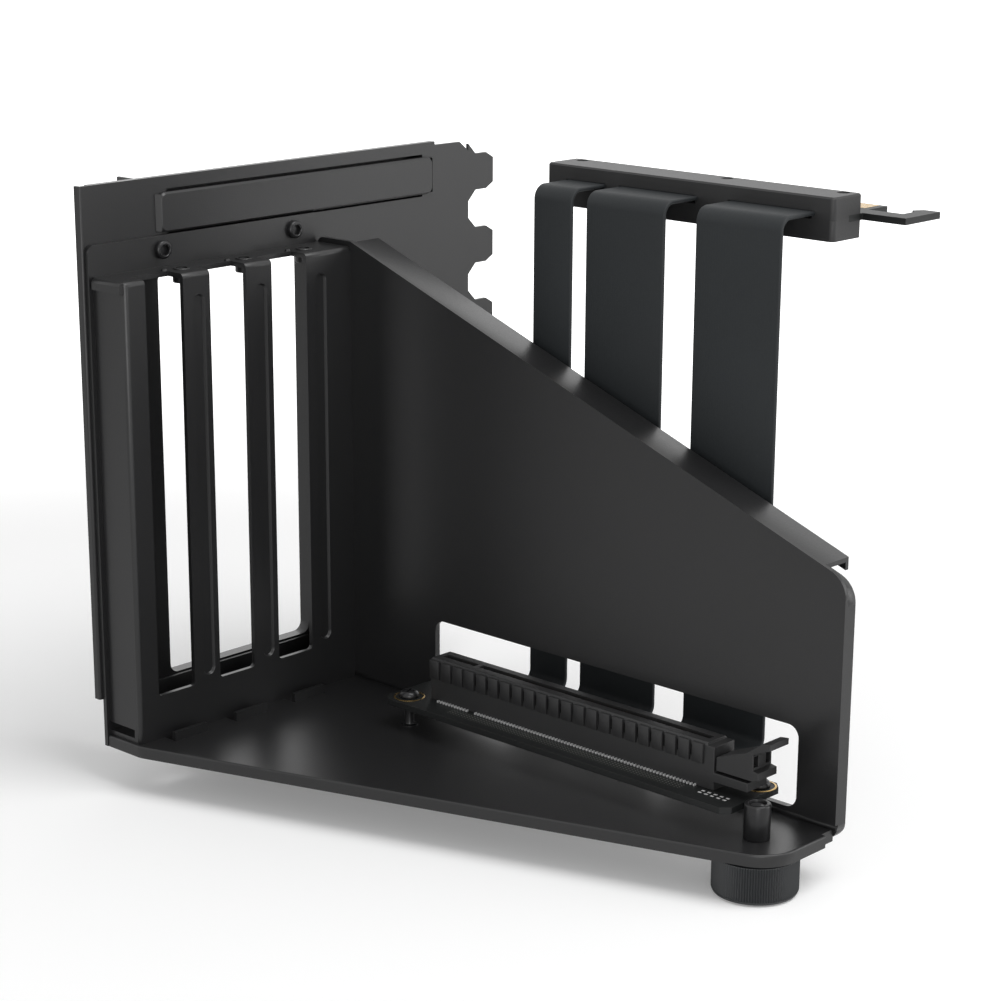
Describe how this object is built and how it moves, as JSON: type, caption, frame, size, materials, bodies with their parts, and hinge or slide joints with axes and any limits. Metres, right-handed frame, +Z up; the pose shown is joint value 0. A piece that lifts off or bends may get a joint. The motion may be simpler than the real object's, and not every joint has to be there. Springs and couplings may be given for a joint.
{
  "type": "vertical graphics card bracket",
  "caption": "Steel bracket that holds a graphics card upright in a computer case, with a riser socket, flat cables, an edge plug and a thumb foot.",
  "frame": {"origin": "middle of the row of six case screw holes, on the outer face of the case flange", "axes": "+X along the card, away from the rear plate; +Y across the slots towards the side wall; +Z up from the base"},
  "size_m": [0.1839, 0.1439, 0.1528],
  "materials": {
    "powder_coat": "fine matte black powder coat",
    "black_screws": "black oxide",
    "steel": "plain",
    "black_knob": "knurled, matte",
    "rubber": "matte",
    "circuit_board": "black solder mask",
    "gold_plate": "gold plating",
    "black_plastic": "moulded, satin",
    "contact_tails": "tinned",
    "cable_jacket": "soft flat jacket",
    "plug_grey": "moulded, satin"
  },
  "bodies": {
    "bracket": {"rear_plate": "powder_coat", "case_flange": "powder_coat", "slot_frame": "powder_coat", "frame_screws": "black_screws", "base_plate": "powder_coat", "side_panel": "powder_coat", "foot_barrel": "black_screws", "riser_board": "circuit_board", "board_rings": "gold_plate", "board_standoffs": "black_screws", "board_screws": "black_screws", "card_socket": "black_plastic", "socket_contacts": "contact_tails", "ribbon_cable_1": "cable_jacket", "ribbon_cable_2": "cable_jacket", "ribbon_cable_3": "cable_jacket", "plug_board": "circuit_board", "plug_fingers": "gold_plate", "plug_base": "black_plastic", "plug_cover": "plug_grey", "plug_screws": "black_screws"},
    "latch": {"socket_latch": "black_plastic"},
    "foot_stud": {"foot_stud": "steel"},
    "foot_knob": {"foot_knob": "black_knob", "foot_pad": "rubber"}
  },
  "joints": [
    {"name": "foot_turn", "type": "hinge", "parent": "foot_stud", "child": "foot_knob", "pos_m": [0.1681, 0.0399, -0.0743], "axis": [0, 0, -1], "range_deg": [0, 3600]},
    {"name": "foot_lift", "type": "slide", "parent": "bracket", "child": "foot_stud", "axis": [0, 0, -1], "range_m": [0, 0.007]},
    {"name": "latch_tip", "type": "hinge", "parent": "bracket", "child": "latch", "pos_m": [0.1624, 0.04435, -0.0527], "axis": [0, 1, 0], "range_deg": [0, 15]}
  ],
  "couplings": [
    {"joint": "foot_turn", "follows": "foot_lift", "rad_per_m": 8976}
  ]
}
